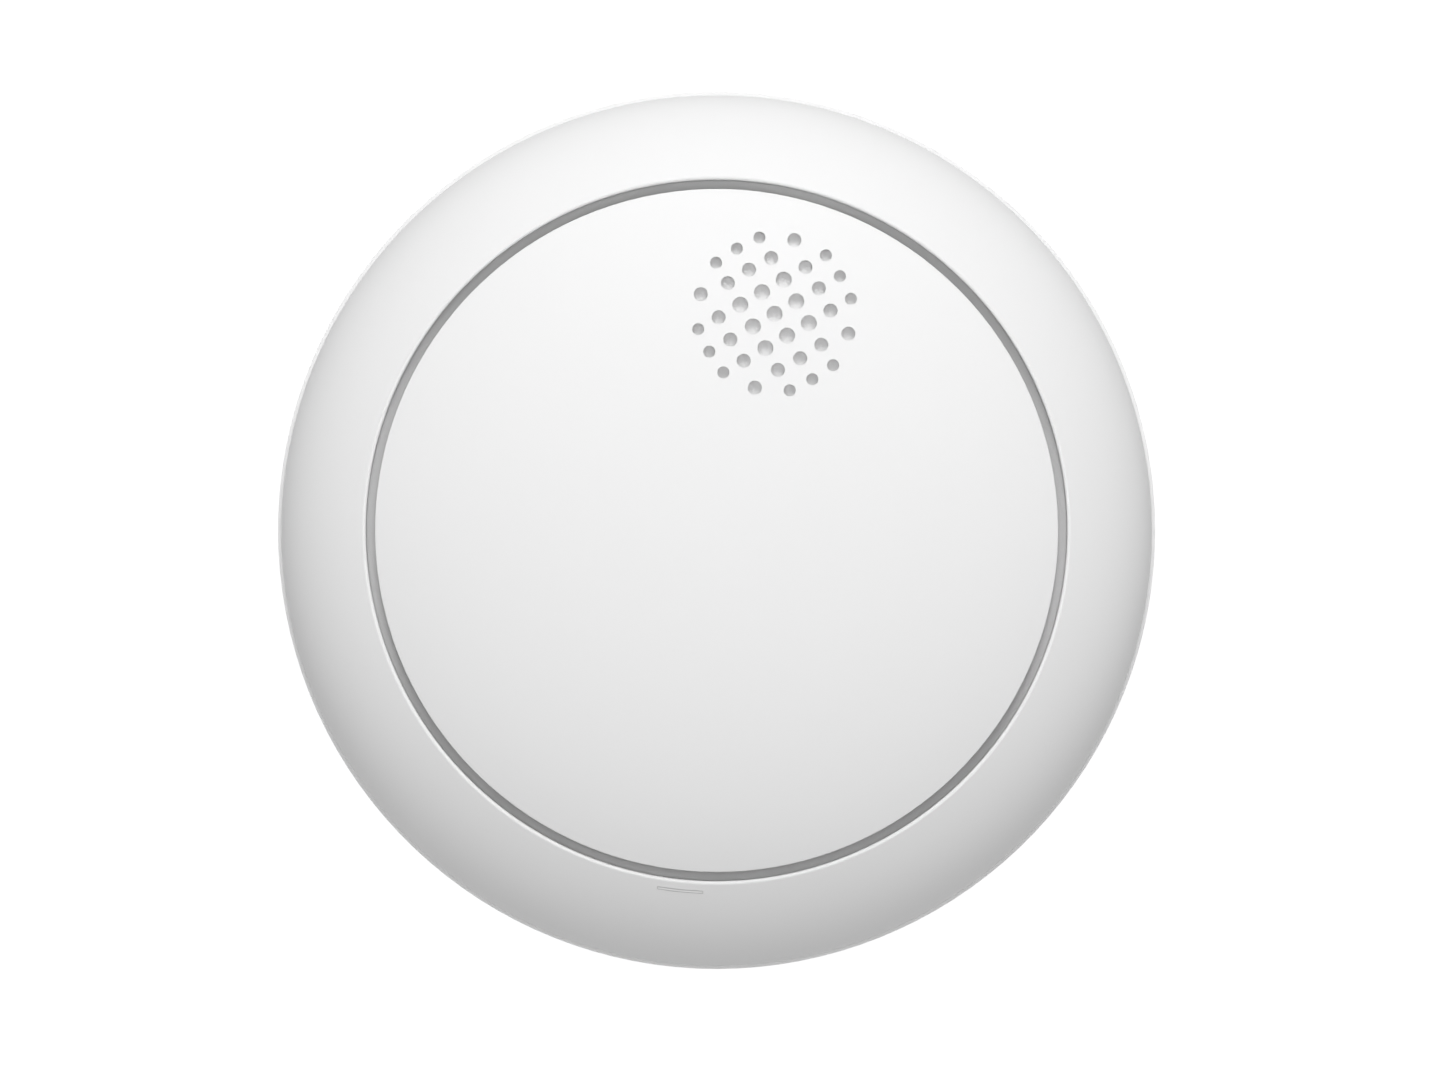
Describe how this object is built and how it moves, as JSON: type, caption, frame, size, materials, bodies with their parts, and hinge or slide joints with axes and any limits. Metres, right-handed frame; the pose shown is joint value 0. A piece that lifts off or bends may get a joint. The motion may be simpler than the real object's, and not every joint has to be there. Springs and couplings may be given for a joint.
{
  "type": "smoke detector",
  "caption": "Round white ceiling smoke detector: a domed ring round a press-to-test cover with sound holes, on a twist-off mounting plate, with full inner parts.",
  "frame": {"origin": "centre of the mounting plate's back, where it meets the ceiling", "axes": "+Z out of the face into the room, so the detector stands on its plate; +Y towards the top edge of the face, +X to its right"},
  "size_m": [0.132, 0.132, 0.036],
  "materials": {
    "shell_plastic": "satin",
    "plate_plastic": "matte",
    "deck_plastic": "matte",
    "grille_cloth": "matte",
    "spring_steel": "satin",
    "zinc_steel": "satin",
    "board_laminate": "satin",
    "chip_plastic": "matte",
    "tinned_steel": "satin",
    "capacitor_aluminium": "satin",
    "wound_copper": "gloss",
    "passive_ceramic": "satin",
    "chamber_plastic": "matte",
    "screen_steel": "satin",
    "emitter_resin": "gloss",
    "receiver_resin": "gloss",
    "cup_plastic": "satin",
    "sounder_brass": "satin",
    "sounder_ceramic": "matte",
    "gasket_rubber": "matte",
    "contact_bronze": "satin",
    "cell_sleeve": "satin",
    "nickel_strip": "satin",
    "pad_foam": "matte",
    "switch_plastic": "matte",
    "plunger_plastic": "satin",
    "sensor_epoxy": "gloss",
    "lamp_resin": "gloss",
    "guide_plastic": "polished"
  },
  "bodies": {
    "mounting_bracket": {"mounting_plate": "plate_plastic"},
    "detector": {"rear_housing": "shell_plastic", "front_ring": "shell_plastic", "inner_deck": "deck_plastic", "cover_springs": "spring_steel", "housing_screws": "zinc_steel", "circuit_board": "board_laminate", "microcontroller": "chip_plastic", "radio_shield": "tinned_steel", "antenna": "tinned_steel", "board_capacitors": "capacitor_aluminium", "horn_transformer": "wound_copper", "surface_mount_parts": "passive_ceramic", "chamber_base": "chamber_plastic", "chamber_labyrinth": "chamber_plastic", "insect_screen": "screen_steel", "infrared_led": "emitter_resin", "photodiode": "receiver_resin", "sounder_cup": "cup_plastic", "sounder_plate": "sounder_brass", "sounder_ceramic": "sounder_ceramic", "sounder_gasket": "gasket_rubber", "sounder_retainer": "cup_plastic", "sounder_contacts": "contact_bronze", "cell_left": "cell_sleeve", "cell_right": "cell_sleeve", "cell_tabs": "nickel_strip", "cell_pads": "pad_foam", "test_switch_body": "switch_plastic", "tamper_switch_body": "switch_plastic", "thermistor": "sensor_epoxy", "status_led": "lamp_resin", "status_light_guide": "guide_plastic"},
    "cover": {"cover_disc": "shell_plastic", "grille_cloth": "grille_cloth"},
    "test_plunger": {"test_switch_plunger": "plunger_plastic"},
    "tamper_pin": {"tamper_plunger": "plunger_plastic"}
  },
  "joints": [
    {"name": "twist_lock", "type": "hinge", "parent": "mounting_bracket", "child": "detector", "pos_m": [0, 0, 0], "axis": [0, 0, 1], "range_deg": [0, 20]},
    {"name": "cover_press", "type": "slide", "parent": "detector", "child": "cover", "axis": [0, 0, -1], "range_m": [0, 0.0008], "stiffness_N_per_m": 1500, "springref_m": -0.001, "deforming": ["cover_springs"]},
    {"name": "test_switch_press", "type": "slide", "parent": "detector", "child": "test_plunger", "axis": [0, 0, -1], "range_m": [0, 0.0008]},
    {"name": "tamper_press", "type": "slide", "parent": "detector", "child": "tamper_pin", "axis": [0, 0, 1], "range_m": [0, 0.0005], "stiffness_N_per_m": 300, "springref_m": -0.001}
  ],
  "couplings": [
    {"joint": "test_switch_press", "follows": "cover_press", "ratio": 1}
  ]
}
